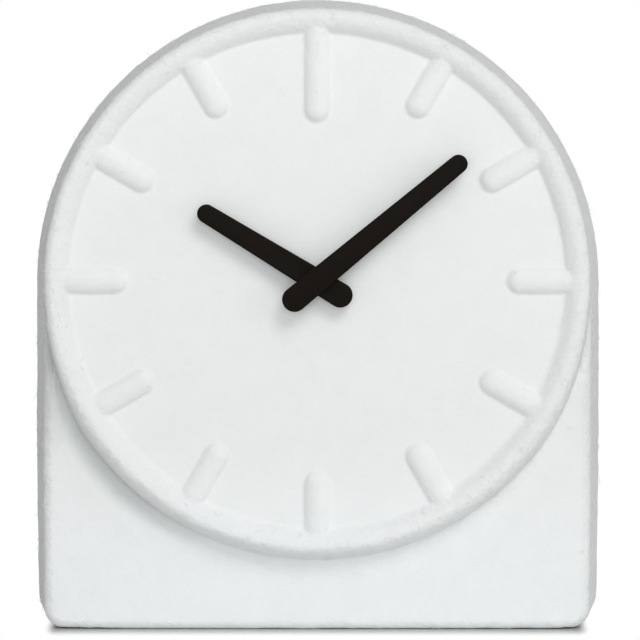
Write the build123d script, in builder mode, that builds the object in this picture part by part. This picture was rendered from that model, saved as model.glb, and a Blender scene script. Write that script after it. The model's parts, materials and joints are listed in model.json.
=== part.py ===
from build123d import *
from math import asin, cos, hypot, radians, sin, tan
import os

os.makedirs("parts", exist_ok=True)

# Sizes in millimetres, angles in degrees. The clock faces -Y and stands on z = 0.
# "Depth" is counted along the dial's own axis: 0 on the felt dial, negative behind it.

# Felt case
lean = 4.0
rim_radius = 92.3
rim_rounding = 2.5
rim_slope_width = 6.4
rim_rise = 3.8
foot_rise = 26.0
case_depth = 60.0
draft = 4.85
felt = 3.0
corner_radius = 7.5
edge_radius = 3.0
skirt_depth = 12.0
lower_face_recess = 0.2

# Raised hour bars in the felt
bar_width = 8.6
bar_rise = 2.6
bar_slope = 32.0
bar_length = 19.1
noon_bar_length = 29.6
bar_overlap = 2.0

# Moulded inner case and rear cover
fit_gap = 0.3
case_wall = 2.0
cover_wall = 2.4
shoulder_inset = 1.3
post_radius = 4.2
upper_post_angle = 42.0
upper_post_inset = 11.3
lower_post_inset = 16.0
lower_post_height = 27.0
well_wall = 1.8
well_gap = 1.0
well_reach = 4.8
well_corner = 4.0
rib_height = 6.0
rib_wall = 1.6
rib_mover_gap = 4.4
rib_end_gap = 4.7

# Self-tapping screws
screw_shank = 1.45
screw_pilot_gap = 0.05
screw_hole_gap = 0.25
cover_screw_length = 12.0
cover_screw_head = 3.0
mover_screw_length = 6.0
mover_screw_head = 2.7
mover_screw_head_height = 1.6

# Quartz movement housing: gear chamber round the hand shaft, battery bay below it
mover_above = 26.0
mover_below = 12.5
mover_corner = 2.5
mover_wall = 1.4
floor_wall = 1.2
lid_wall = 1.4
ear_reach = 9.0
ear_width = 9.0
ear_y = 8.0
ear_stand = 4.4
ear_wall = 2.0
pilot_tube_wall = 0.6
pilot_tube_set_back = 0.8
lid_gap = 0.15
lid_plug = 1.2

# Arbors and running fits
arbor_radius = 0.6
pivot_radius = 0.4
pivot_length = 0.6
running_gap = 0.05
end_play = 0.2

# Gear train: teeth and centre distances
cannon_teeth = 12
motion_teeth = 36
motion_pinion_teeth = 10
hour_teeth = 40
motion_distance = 12.0
knob_teeth = 12
center_teeth = 60
third_pinion_teeth = 8
third_teeth = 64
second_pinion_teeth = 8
third_distance = 11.22
second_teeth = 60
inter_pinion_teeth = 10
inter_distance = 11.55
inter_teeth = 40
rotor_teeth = 8
rotor_distance = 8.64

# Directions of the arbors, seen from the front, from the shaft that each one meshes with
motion_angle = 180.0
knob_angle = 115.0
third_angle = 115.0
inter_angle = -20.0
rotor_angle = -17.0

# Wheel layers behind the movement's floor: gap before each layer and its thickness
wheel_wall = 1.2
layer_gap = 0.5
wheel_layers = 6
circuit_room = 2.3

# Hands and the hand shaft
minute_arbor_radius = 1.6
hour_pipe_wall = 0.84
hand_wall = 1.1
hour_hand_depth = 4.6
minute_hand_depth = 7.2
hand_tip_half_width = 3.15
hand_tail_half_width = 4.2
hour_hand_reach = 46.8
hour_hand_tail = 13.4
hour_hand_angle = 301.3
minute_hand_reach = 65.0
minute_hand_tail = 14.0
minute_hand_angle = 50.4
bush_wall = 0.8
hour_bush_height = 1.2
minute_bush_height = 0.8
seat_gap = 0.02
felt_hole_gap = 0.25

# Clutch spring between the minute arbor and the centre wheel
clutch_wall = 0.2
clutch_radius = 3.0

# Setting knob
knob_radius = 5.5
knob_wall = 3.0
knob_clearance = 0.5
knob_shaft_radius = 1.2
knob_flutes = 18
knob_flute_radius = 0.5

# Stepping motor
magnet_radius = 3.0
magnet_length = 3.0
stator_wall = 1.2
stator_bore_gap = 0.5
stator_margin = 2.0
stator_leg = 2.4
stator_slot = 0.6
stator_end_gap = 0.5
coil_side_gap = 0.6
coil_low = 4.0
coil_radius = 3.6
coil_flange = 0.8
coil_flange_radius = 4.0
core_width = 2.4
bobbin_wall = 0.5
coil_clearance = 0.1

# Driver circuit
board_width = 22.0
board_height = 11.0
board_wall = 1.0
board_x = 1.5
board_gap = 0.3
can_radius = 1.0
can_length = 6.0
can_edge = 0.25
chip_radius = 2.4
chip_height = 1.1
chip_edge = 0.5

# Battery, size AA
battery_radius = 7.25
battery_length = 49.3
battery_edge = 0.6
terminal_radius = 2.75
terminal_length = 1.0
bay_gap = 0.2
cell_gap = 0.1
contact_room = 1.45
contact_wall = 0.4
contact_width = 7.0
contact_height = 9.0


# The dial's own frame: x to the right, y up along the dial, z out of it
crest_radius = rim_radius - rim_rounding
dial_radius = crest_radius - rim_slope_width
dial_height = rim_radius + foot_rise
rim_base = rim_rise - rim_rounding
back = rim_rise - case_depth


def wall_radius(depth):
    return rim_radius + (rim_base - depth) * tan(radians(draft))


front_reach = crest_radius * sin(radians(lean)) + rim_base * cos(radians(lean)) + rim_rounding
rear_reach = wall_radius(back) * sin(radians(lean)) - back * cos(radians(lean))
dial_center = (0, (front_reach - rear_reach) / 2, dial_height)
outward = (0, -cos(radians(lean)), sin(radians(lean)))
downward = (0, -sin(radians(lean)), -cos(radians(lean)))
dial = Plane(origin=dial_center, x_dir=(1, 0, 0), z_dir=outward)
level = Plane(origin=dial_center, x_dir=(1, 0, 0), z_dir=downward)
dial_axis = Axis(dial_center, outward)
lower_face_y = dial.from_local_coords(Vector(0, 0, -lower_face_recess)).Y


def polar(distance, angle, start=(0, 0)):
    return (
        start[0] + distance * cos(radians(angle)),
        start[1] + distance * sin(radians(angle)),
    )


# Arch forms shared by the felt, the inner case and the rear cover
def half_width(depth, inset):
    return wall_radius(depth) - inset / cos(radians(draft))


def lower_block(inset, front, rear):
    with BuildPart() as block:
        with BuildSketch(level):
            Polygon(
                (-half_width(front, inset), front),
                (-half_width(rear, inset), rear),
                (half_width(rear, inset), rear),
                (half_width(front, inset), front),
            )
        extrude(amount=2 * dial_height)
        split(bisect_by=Plane.XY.offset(inset), keep=Keep.TOP)
        split(bisect_by=Plane(origin=(0, lower_face_y + inset, 0), z_dir=(0, 1, 0)), keep=Keep.TOP)
        foot = block.faces().sort_by(Axis.Z)[0].edges().sort_by(Axis.X)
        fillet([foot[0], foot[-1]], corner_radius - inset / 2)
    return block.part


def arch_block(inset, front, rear):
    with BuildPart() as block:
        add(lower_block(inset, min(front, rim_base), rear))
        with BuildSketch(level):
            Polygon(
                (0, rear),
                (half_width(rear, inset), rear),
                (half_width(front, inset), front),
                (0, front),
            )
        revolve(axis=dial_axis, revolution_arc=180)
        with BuildSketch(dial.offset(front)):
            Circle(rim_radius - shoulder_inset - inset)
        extrude(amount=-min(skirt_depth, front - rear))
    return block.part


# Half section of the dial and its rim, out to the given depth on the side wall
def rim_half_turn(side, rear):
    with BuildSketch(level) as section:
        with BuildLine():
            slope_start = (side * dial_radius, 0)
            crest = (side * crest_radius, rim_rise)
            rim_edge = (side * rim_radius, rim_base)
            wall_end = (side * wall_radius(rear), rear)
            Polyline((0, rear), (0, 0), slope_start)
            Bezier(
                slope_start,
                (side * (dial_radius + 0.22 * rim_slope_width), 0.42 * rim_rise),
                (side * (crest_radius - 0.5 * rim_slope_width), rim_rise),
                crest,
            )
            RadiusArc(crest, rim_edge, side * rim_rounding)
            Polyline(rim_edge, wall_end, (0, rear))
        make_face()
    return section.sketch


# Depths of the stack behind the dial
case_front = -felt
mover_front = case_front - case_wall
cover_front = back + cover_wall
mover_inside = mover_front - floor_wall
mover_depth = floor_wall + layer_gap + wheel_layers * (wheel_wall + layer_gap) + circuit_room + lid_wall
lid_front = mover_front - mover_depth + lid_wall
mover_back = lid_front - lid_wall
ear_front = mover_front - ear_stand
ear_back = ear_front - ear_wall
well_front = mover_back + well_reach


def layer(number):
    return mover_inside - layer_gap - number * (wheel_wall + layer_gap)


# Arbor places in the dial's frame
motion_spot = polar(motion_distance, motion_angle)
motion_module = 2 * motion_distance / (cannon_teeth + motion_teeth)
hour_module = 2 * motion_distance / (motion_pinion_teeth + hour_teeth)
knob_spot = polar(motion_module * (motion_teeth + knob_teeth) / 2, knob_angle, motion_spot)
third_spot = polar(third_distance, third_angle)
center_module = 2 * third_distance / (center_teeth + third_pinion_teeth)
third_module = 2 * third_distance / (third_teeth + second_pinion_teeth)
inter_spot = polar(inter_distance, inter_angle)
second_module = 2 * inter_distance / (second_teeth + inter_pinion_teeth)
rotor_spot = polar(rotor_distance, rotor_angle, inter_spot)
rotor_module = 2 * rotor_distance / (inter_teeth + rotor_teeth)
hour_pipe_bore = minute_arbor_radius + running_gap
hour_pipe_radius = hour_pipe_bore + hour_pipe_wall
pilot_tube_radius = hour_pipe_radius + running_gap + pilot_tube_wall
felt_hole_radius = pilot_tube_radius + felt_hole_gap

# Movement housing: as wide as the cell with its contacts or the gear train needs
pole_radius = magnet_radius + stator_bore_gap
cell_length = battery_length + terminal_length
cell_room = cell_length + 2 * contact_room
train_room = 2 * (rotor_spot[0] + pole_radius + stator_margin + stator_end_gap)
mover_size = max(cell_room, train_room) + 2 * mover_wall
mover_top = mover_above
partition_y = -mover_below
bay_top = partition_y - mover_wall
bay_height = 2 * (battery_radius + cell_gap)
mover_bottom = bay_top - bay_height - mover_wall
mover_height = mover_top - mover_bottom
mover_middle = (mover_top + mover_bottom) / 2
coil_x = mover_size / 2 - mover_wall - coil_side_gap - coil_flange_radius

# Screw places, seen along the dial axis
case_inside = half_width(cover_front, felt + fit_gap + case_wall)
upper_post = polar(case_inside - upper_post_inset, upper_post_angle)
lower_post = (case_inside - lower_post_inset, lower_post_height - dial_height)
post_spots = [(side * spot[0], spot[1]) for spot in (upper_post, lower_post) for side in (-1, 1)]
ear_x = mover_size / 2 + ear_reach - ear_width / 2
ear_spots = [(-ear_x, ear_y), (ear_x, ear_y)]

# Tooth forms in modules: addendum, dedendum, thickness at the tip, the pitch line and the root
wheel_tooth = (1.0, 1.25, 0.55, 1.25, 1.5)
leaf_tooth = (0.65, 1.5, 0.6, 1.0, 0.75)


def toothed(teeth, module, first_tooth, form):
    addendum, dedendum, tip, middle, root = (module * share for share in form)
    pitch_radius = teeth * module / 2
    outline = []
    flank = ((pitch_radius - dedendum, -root), (pitch_radius, -middle), (pitch_radius + addendum, -tip))
    for tooth in range(teeth):
        center = radians(first_tooth + 360 * tooth / teeth)
        both_flanks = list(flank) + [(radius, -width) for radius, width in reversed(flank)]
        for radius, width in both_flanks:
            angle = center + width / 2 / radius
            outline.append((radius * cos(angle), radius * sin(angle)))
    Polygon(*outline)


def gear(spot, depth, teeth, module, first_tooth, form):
    with BuildSketch(dial.offset(depth - wheel_wall)) as profile:
        with Locations(spot):
            toothed(teeth, module, first_tooth, form)
    extrude(profile.sketch, amount=wheel_wall)


# First tooth of a gear that has a gap, not a tooth, in the given direction
def gap_at(angle, teeth):
    return angle + 180 / teeth


def rod(spot, radius, front, rear, mode=Mode.ADD):
    with BuildSketch(dial.offset(rear)) as profile:
        with Locations(spot):
            Circle(radius)
    extrude(profile.sketch, amount=front - rear, mode=mode)


def pivoted_arbor(spot, front, rear):
    rod(spot, arbor_radius, front - end_play, rear + end_play)
    rod(spot, pivot_radius, front + pivot_length, rear - pivot_length)


def finish(piece, name):
    piece.part.label = name
    export_step(piece.part, f"parts/{name}.step")


# Felt case: moulded arch with a raised rim, hour bars and an open back
with BuildPart() as felt_shell:
    add(lower_block(0, rim_base, back))
    front_face = felt_shell.faces().sort_by(Axis.Y)[0]
    front_edges = front_face.edges().sort_by(Axis.Z)[:-1]
    fillet(front_edges, edge_radius)
    add(rim_half_turn(1, back))
    revolve(axis=dial_axis, revolution_arc=180)
    add(rim_half_turn(-1, rim_base - skirt_depth))
    revolve(axis=dial_axis, revolution_arc=180)
    for hour in range(12):
        reach = noon_bar_length if hour == 0 else bar_length
        round_end = dial_radius - reach + bar_width / 2
        rim_end = dial_radius + bar_overlap
        with BuildSketch(dial):
            with Locations(Location((0, 0), 90 - 30 * hour)):
                with Locations((round_end, 0)):
                    Circle(bar_width / 2)
                with Locations(((round_end + rim_end) / 2, 0)):
                    Rectangle(rim_end - round_end, bar_width)
        extrude(amount=bar_rise, taper=bar_slope)
    add(arch_block(felt, case_front, back - 1), mode=Mode.SUBTRACT)
    rod((0, 0), felt_hole_radius, rim_rise, case_front - 1, Mode.SUBTRACT)
finish(felt_shell, "felt_shell")

# Inner case: moulded box that holds the felt in shape, with screw posts and ribs
rib_inner_radius = hypot(mover_size, mover_height) / 2 + rib_mover_gap
rib_outer_radius = dial_radius - rib_end_gap
with BuildPart() as posts:
    for spot in post_spots:
        rod(spot, post_radius, 0, cover_front)
    for spot in ear_spots:
        rod(spot, ear_width / 2, 0, ear_front)
    for rib_angle in (45, 135, 225, 315):
        with BuildSketch(dial.offset(mover_front - rib_height)):
            with Locations(Location((0, 0), rib_angle)):
                with Locations(((rib_inner_radius + rib_outer_radius) / 2, 0)):
                    Rectangle(rib_outer_radius - rib_inner_radius, rib_wall)
        extrude(amount=rib_height + case_wall)
    add(arch_block(felt + fit_gap, case_front, cover_front), mode=Mode.INTERSECT)
with BuildPart() as inner_case:
    add(arch_block(felt + fit_gap, case_front, cover_front))
    add(arch_block(felt + fit_gap + case_wall, mover_front, cover_front - 1), mode=Mode.SUBTRACT)
    add(posts.part)
    rod((0, 0), felt_hole_radius, 0, mover_front - 1, Mode.SUBTRACT)
    pilot_radius = screw_shank + screw_pilot_gap
    for spot in post_spots:
        rod(spot, pilot_radius, cover_front + cover_screw_length, cover_front - 1, Mode.SUBTRACT)
    for spot in ear_spots:
        rod(spot, pilot_radius, ear_back + mover_screw_length, ear_front - 1, Mode.SUBTRACT)
finish(inner_case, "inner_case")

# Rear cover: flat arch with a deep well that reaches in to the movement
well_width = mover_size + 2 * well_gap
well_height = mover_height + 2 * well_gap
with BuildPart() as rear_cover:
    add(arch_block(felt + fit_gap, cover_front, back))
    with BuildSketch(dial.offset(back)):
        with Locations((0, mover_middle)):
            RectangleRounded(
                well_width + 2 * well_wall,
                well_height + 2 * well_wall,
                well_corner + well_wall,
            )
    extrude(amount=well_front - back)
    with BuildSketch(dial.offset(back)):
        with Locations((0, mover_middle)):
            RectangleRounded(well_width, well_height, well_corner)
    extrude(amount=well_front - back, mode=Mode.SUBTRACT)
    for spot in post_spots:
        rod(spot, screw_shank + screw_hole_gap, cover_front, back, Mode.SUBTRACT)
        with BuildSketch(dial.offset(back)):
            with Locations(spot):
                Circle(cover_screw_head + screw_hole_gap)
        extrude(amount=cover_screw_head - screw_shank, taper=45, mode=Mode.SUBTRACT)
finish(rear_cover, "rear_cover")

# Countersunk screws of the rear cover
with BuildPart() as cover_screws:
    for spot in post_spots:
        with BuildSketch(dial.offset(back)):
            with Locations(spot):
                Circle(cover_screw_head)
        extrude(amount=cover_screw_head - screw_shank, taper=45)
        rod(spot, screw_shank, cover_front + cover_screw_length - screw_pilot_gap, back)
finish(cover_screws, "cover_screws")

# Movement housing: open tray with a gear chamber above and the battery bay below
chamber_width = mover_size - 2 * mover_wall
chamber_height = mover_top - mover_wall - partition_y
chamber_middle = (mover_top - mover_wall + partition_y) / 2
bay_middle = bay_top - bay_height / 2
battery_axis_depth = mover_front - floor_wall / 2 - bay_gap - battery_radius
pivot_spots = (motion_spot, third_spot, inter_spot, rotor_spot)
with BuildPart() as mover_base:
    with BuildSketch(dial.offset(lid_front)):
        with Locations((0, mover_middle)):
            RectangleRounded(mover_size, mover_height, mover_corner)
    extrude(amount=mover_front - lid_front)
    with BuildSketch(dial.offset(lid_front)):
        with Locations((0, chamber_middle)):
            Rectangle(chamber_width, chamber_height)
    extrude(amount=mover_inside - lid_front, mode=Mode.SUBTRACT)
    with BuildSketch(dial.offset(lid_front)):
        with Locations((0, bay_middle)):
            Rectangle(chamber_width, bay_height)
    extrude(amount=mover_front - floor_wall / 2 - lid_front, mode=Mode.SUBTRACT)
    for spot in ear_spots:
        with BuildSketch(dial.offset(ear_back)):
            with Locations(spot):
                Circle(ear_width / 2)
            with Locations((spot[0] - (spot[0] / ear_x) * ear_width / 2, spot[1])):
                Rectangle(ear_width, ear_width)
            with Locations((0, chamber_middle)):
                Rectangle(chamber_width + mover_wall, mover_height, mode=Mode.SUBTRACT)
        extrude(amount=ear_wall)
        rod(spot, screw_shank + screw_hole_gap, ear_front, ear_back, Mode.SUBTRACT)
    rod((0, 0), pilot_tube_radius, -pilot_tube_set_back, mover_inside)
    rod((0, 0), hour_pipe_radius + running_gap, 0, mover_inside - 1, Mode.SUBTRACT)
    pivot_hole_end = mover_inside + pivot_length + end_play
    for spot in pivot_spots:
        rod(spot, pivot_radius + running_gap, pivot_hole_end, mover_inside - 1, Mode.SUBTRACT)
    rod(knob_spot, pivot_radius + running_gap, pivot_hole_end, mover_inside - 1, Mode.SUBTRACT)
finish(mover_base, "movement_base")

# Movement lid over the gear chamber, plugged into it
lid_height = mover_top - partition_y + mover_wall
with BuildPart() as mover_lid:
    with BuildSketch(dial.offset(mover_back)):
        with Locations((0, mover_top - lid_height / 2)):
            RectangleRounded(mover_size, lid_height, mover_corner)
    extrude(amount=lid_wall)
    with BuildSketch(dial.offset(lid_front)):
        with Locations((0, chamber_middle)):
            Rectangle(chamber_width - 2 * lid_gap, chamber_height - 2 * lid_gap)
            Rectangle(
                chamber_width - 2 * (lid_gap + mover_wall),
                chamber_height - 2 * (lid_gap + mover_wall),
                mode=Mode.SUBTRACT,
            )
    extrude(amount=lid_plug)
    rod(knob_spot, knob_shaft_radius + running_gap, lid_front, mover_back, Mode.SUBTRACT)
    for spot in pivot_spots + ((0, 0),):
        pivot_hole_end = lid_front - pivot_length - end_play
        rod(spot, pivot_radius + running_gap, lid_front, pivot_hole_end, Mode.SUBTRACT)
finish(mover_lid, "movement_lid")

# Pan-head screws through the movement's ears
with BuildPart() as mover_screws:
    for spot in ear_spots:
        rod(spot, mover_screw_head, ear_back, ear_back - mover_screw_head_height)
        rod(spot, screw_shank, ear_back + mover_screw_length - screw_pilot_gap, ear_back)
finish(mover_screws, "movement_screws")

# Hour wheel with its pipe, which carries the hour hand
with BuildPart() as hour_wheel:
    gear((0, 0), layer(0), hour_teeth, hour_module, gap_at(motion_angle, hour_teeth), wheel_tooth)
    rod((0, 0), hour_pipe_radius, hour_hand_depth + hand_wall, layer(0))
    rod((0, 0), hour_pipe_bore, hour_hand_depth + hand_wall, layer(0) - wheel_wall, Mode.SUBTRACT)
finish(hour_wheel, "hour_wheel")

# Minute arbor with the cannon pinion that drives the motion work
with BuildPart() as minute_arbor:
    gear((0, 0), layer(1), cannon_teeth, motion_module, gap_at(motion_angle, cannon_teeth), leaf_tooth)
    rod((0, 0), minute_arbor_radius, minute_hand_depth - seat_gap, layer(3) + layer_gap / 2)
    rod((0, 0), arbor_radius + running_gap, layer(1), layer(3), Mode.SUBTRACT)
finish(minute_arbor, "minute_arbor")

# Clutch spring: thin ring that drags the centre wheel round with the minute arbor
with BuildPart() as clutch_spring:
    rod((0, 0), clutch_radius, layer(2) + clutch_wall + running_gap, layer(2) + running_gap)
    rod((0, 0), minute_arbor_radius + seat_gap, layer(1), layer(2), Mode.SUBTRACT)
finish(clutch_spring, "clutch_spring")

# Motion-work wheel, between the cannon pinion and the hour wheel
with BuildPart() as motion_wheel:
    gear(motion_spot, layer(0), motion_pinion_teeth, hour_module, motion_angle + 180, leaf_tooth)
    gear(motion_spot, layer(1), motion_teeth, motion_module, motion_angle + 180, wheel_tooth)
    rod(motion_spot, arbor_radius, layer(0), layer(1))
    pivoted_arbor(motion_spot, mover_inside, lid_front)
finish(motion_wheel, "motion_wheel")

# Setting knob with its shaft and pinion
knob_front = mover_back - knob_clearance
with BuildPart() as setting_knob:
    gear(knob_spot, layer(1), knob_teeth, motion_module, knob_angle + 180, leaf_tooth)
    rod(knob_spot, knob_shaft_radius, mover_inside - end_play, knob_front)
    rod(knob_spot, pivot_radius, mover_inside + pivot_length, mover_inside - end_play)
    rod(knob_spot, knob_radius, knob_front, knob_front - knob_wall)
    for flute in range(knob_flutes):
        flute_spot = polar(knob_radius, 360 * flute / knob_flutes, knob_spot)
        rod(flute_spot, knob_flute_radius, knob_front, knob_front - knob_wall, Mode.SUBTRACT)
finish(setting_knob, "setting_knob")

# Centre wheel, turning with the minute arbor through the clutch
with BuildPart() as center_wheel:
    gear((0, 0), layer(2), center_teeth, center_module, third_angle, wheel_tooth)
    rod((0, 0), minute_arbor_radius + running_gap, layer(2), layer(3), Mode.SUBTRACT)
finish(center_wheel, "center_wheel")

# Third wheel
with BuildPart() as third_wheel:
    pinion_start = gap_at(third_angle + 180, third_pinion_teeth)
    gear(third_spot, layer(2), third_pinion_teeth, center_module, pinion_start, leaf_tooth)
    gear(third_spot, layer(3), third_teeth, third_module, third_angle + 180, wheel_tooth)
    pivoted_arbor(third_spot, mover_inside, lid_front)
finish(third_wheel, "third_wheel")

# Seconds wheel, pivoted inside the minute arbor
with BuildPart() as second_wheel:
    pinion_start = gap_at(third_angle, second_pinion_teeth)
    gear((0, 0), layer(3), second_pinion_teeth, third_module, pinion_start, leaf_tooth)
    gear((0, 0), layer(4), second_teeth, second_module, inter_angle, wheel_tooth)
    rod((0, 0), arbor_radius, layer(2) + layer_gap, lid_front + end_play)
    rod((0, 0), pivot_radius, layer(4), lid_front - pivot_length)
finish(second_wheel, "second_wheel")

# Intermediate wheel between the rotor and the seconds wheel
with BuildPart() as inter_wheel:
    pinion_start = gap_at(inter_angle + 180, inter_pinion_teeth)
    gear(inter_spot, layer(4), inter_pinion_teeth, second_module, pinion_start, leaf_tooth)
    gear(inter_spot, layer(5), inter_teeth, rotor_module, rotor_angle, wheel_tooth)
    pivoted_arbor(inter_spot, mover_inside, lid_front)
finish(inter_wheel, "intermediate_wheel")

# Rotor: pinion on its arbor, with a ring magnet
magnet_middle = layer(2) - wheel_wall / 2
magnet_front = magnet_middle + magnet_length / 2
with BuildPart() as rotor_pinion:
    gear(rotor_spot, layer(5), rotor_teeth, rotor_module, gap_at(rotor_angle + 180, rotor_teeth), leaf_tooth)
    pivoted_arbor(rotor_spot, mover_inside, lid_front)
finish(rotor_pinion, "rotor_pinion")
with BuildPart() as rotor_magnet:
    rod(rotor_spot, magnet_radius, magnet_front, magnet_front - magnet_length)
    rod(rotor_spot, arbor_radius + seat_gap, magnet_front, magnet_front - magnet_length, Mode.SUBTRACT)
finish(rotor_magnet, "rotor_magnet")

# Stator: pole plate round the rotor with two legs up to the coil core
stator_front = magnet_middle + stator_wall / 2
stator_back = stator_front - stator_wall
core_high = mover_top - mover_wall - stator_end_gap
coil_high = core_high - stator_leg - coil_clearance
long_leg_x = coil_x - coil_flange_radius - coil_clearance - stator_leg / 2
with BuildPart() as stator:
    with BuildSketch(dial.offset(stator_back)):
        with Locations(rotor_spot):
            Circle(pole_radius + stator_margin)
        with Locations((long_leg_x, (rotor_spot[1] + core_high) / 2)):
            Rectangle(stator_leg, core_high - rotor_spot[1])
        with Locations(((long_leg_x + coil_x) / 2, core_high - stator_leg / 2)):
            Rectangle(coil_x - long_leg_x + core_width, stator_leg)
        with Locations((coil_x, (rotor_spot[1] + coil_low - coil_clearance) / 2)):
            Rectangle(core_width, coil_low - coil_clearance - rotor_spot[1])
        with Locations(rotor_spot):
            Circle(pole_radius, mode=Mode.SUBTRACT)
        with Locations(rotor_spot):
            Rectangle(stator_slot, 2 * (pole_radius + stator_margin + stator_slot), mode=Mode.SUBTRACT)
    extrude(amount=stator_wall)
finish(stator, "stator")

# Coil core, bobbin and winding, lying behind the stator
core_depth = stator_back - stator_wall / 2
coil_middle = Plane(
    origin=dial.from_local_coords(Vector(coil_x, (coil_low + coil_high) / 2, core_depth)),
    x_dir=(1, 0, 0),
    z_dir=(0, -downward[1], -downward[2]),
)
coil_length = coil_high - coil_low
with BuildPart() as coil_core:
    with BuildSketch(dial.offset(stator_back - stator_wall)):
        with Locations((coil_x, (coil_low + core_high) / 2 - stator_leg / 2)):
            Rectangle(core_width, core_high - coil_low + stator_leg)
    extrude(amount=stator_wall)
finish(coil_core, "coil_core")
core_hole = (core_width + 2 * seat_gap, stator_wall + 2 * seat_gap)
barrel_radius = core_width / 2 + bobbin_wall
with BuildPart() as bobbin:
    with BuildSketch(coil_middle):
        Circle(barrel_radius)
    extrude(amount=coil_length / 2, both=True)
    for flange_start in (-coil_length / 2, coil_length / 2 - coil_flange):
        with BuildSketch(coil_middle.offset(flange_start)):
            Circle(coil_flange_radius)
        extrude(amount=coil_flange)
    with BuildSketch(coil_middle):
        Rectangle(*core_hole)
    extrude(amount=coil_length / 2, both=True, mode=Mode.SUBTRACT)
finish(bobbin, "coil_bobbin")
with BuildPart() as winding:
    with BuildSketch(coil_middle):
        Circle(coil_radius)
        Circle(barrel_radius + seat_gap, mode=Mode.SUBTRACT)
    extrude(amount=coil_length / 2 - coil_flange - seat_gap, both=True)
finish(winding, "coil_winding")

# Driver board with its chip and crystal
board_back = lid_front
board_y = mover_top - 2 * mover_wall - lid_gap - board_gap - board_height / 2
board_center = (board_x, board_y)
board_front = board_back + board_wall
with BuildPart() as board:
    with BuildSketch(dial.offset(board_back)):
        with Locations(board_center):
            Rectangle(board_width, board_height)
    extrude(amount=board_wall)
finish(board, "driver_board")
chip_spot = (board_center[0] - board_width / 4, board_center[1])
with BuildPart() as chip:
    rod(chip_spot, chip_radius, board_front + chip_height, board_front)
    chamfer(chip.edges().sort_by(dial_axis)[-1], chip_edge)
finish(chip, "driver_chip")
can_spot = (board_center[0] + board_width / 4, board_center[1])
can_middle = Plane(
    origin=dial.from_local_coords(Vector(*can_spot, board_front + can_radius + running_gap)),
    x_dir=outward,
    z_dir=(1, 0, 0),
)
with BuildPart() as can:
    with BuildSketch(can_middle):
        Circle(can_radius)
    extrude(amount=can_length / 2, both=True)
    chamfer(can.edges().filter_by(GeomType.CIRCLE), can_edge)
finish(can, "crystal_can")

# AA cell lying across the bay, with a leaf contact at each end
battery_start = Plane(
    origin=dial.from_local_coords(
        Vector(-cell_length / 2, bay_middle, battery_axis_depth)
    ),
    x_dir=outward,
    z_dir=(1, 0, 0),
)
with BuildPart() as battery:
    with BuildSketch(battery_start):
        Circle(battery_radius)
    extrude(amount=battery_length)
    chamfer(battery.edges().filter_by(GeomType.CIRCLE), battery_edge)
    with BuildSketch(battery_start.offset(battery_length)):
        Circle(terminal_radius)
    extrude(amount=terminal_length)
finish(battery, "battery")
for side, name in ((-1, "negative_contact"), (1, "positive_contact")):
    with BuildPart() as contact:
        with BuildSketch(dial.offset(battery_axis_depth - contact_height / 2)):
            with BuildLine():
                wall_x = side * (chamber_width / 2 - seat_gap - contact_wall / 2)
                tip_x = side * (cell_length / 2 + seat_gap + contact_wall / 2)
                Polyline(
                    (wall_x, bay_middle + contact_width / 2),
                    (wall_x, bay_middle + contact_width / 4),
                    (tip_x, bay_middle),
                    (wall_x, bay_middle - contact_width / 4),
                    (wall_x, bay_middle - contact_width / 2),
                )
                offset(amount=contact_wall / 2)
            make_face()
        extrude(amount=contact_height)
    finish(contact, name)


# Hands: batons that widen towards the tail, rounded at both ends
def baton(depth, reach, tail, angle):
    tip_center = reach - hand_tip_half_width
    tail_center = hand_tail_half_width - tail
    flank = asin((hand_tail_half_width - hand_tip_half_width) / (tip_center - tail_center))
    ends = ((tip_center, hand_tip_half_width), (tail_center, hand_tail_half_width))
    edge = [(center + radius * sin(flank), radius * cos(flank)) for center, radius in ends]
    with BuildSketch(dial.offset(depth)) as outline:
        with Locations(Location((0, 0), 90 - angle)):
            Polygon(edge[0], edge[1], (edge[1][0], -edge[1][1]), (edge[0][0], -edge[0][1]))
            for center, radius in ends:
                with Locations((center, 0)):
                    Circle(radius)
    return outline.sketch


hour_bush_radius = hour_pipe_radius + seat_gap + bush_wall
with BuildPart() as hour_hand:
    outline = baton(hour_hand_depth, hour_hand_reach, hour_hand_tail, hour_hand_angle)
    extrude(outline, amount=hand_wall)
    rod((0, 0), hour_pipe_radius + seat_gap, minute_hand_depth, 0, Mode.SUBTRACT)
finish(hour_hand, "hour_hand")
with BuildPart() as hour_bush:
    rod((0, 0), hour_bush_radius, hour_hand_depth, hour_hand_depth - hour_bush_height)
    rod((0, 0), hour_pipe_radius + seat_gap, hour_hand_depth, 0, Mode.SUBTRACT)
finish(hour_bush, "hour_hand_bush")
minute_bush_bore = minute_arbor_radius + seat_gap
with BuildPart() as minute_hand:
    outline = baton(minute_hand_depth, minute_hand_reach, minute_hand_tail, minute_hand_angle)
    extrude(outline, amount=hand_wall)
finish(minute_hand, "minute_hand")
with BuildPart() as minute_bush:
    rod((0, 0), minute_bush_bore + bush_wall, minute_hand_depth, minute_hand_depth - minute_bush_height)
    rod((0, 0), minute_bush_bore, minute_hand_depth, 0, Mode.SUBTRACT)
finish(minute_bush, "minute_hand_bush")
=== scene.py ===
import json
import math

import bmesh
import bpy
import numpy as np
from mathutils import Matrix, Vector, noise


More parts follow.
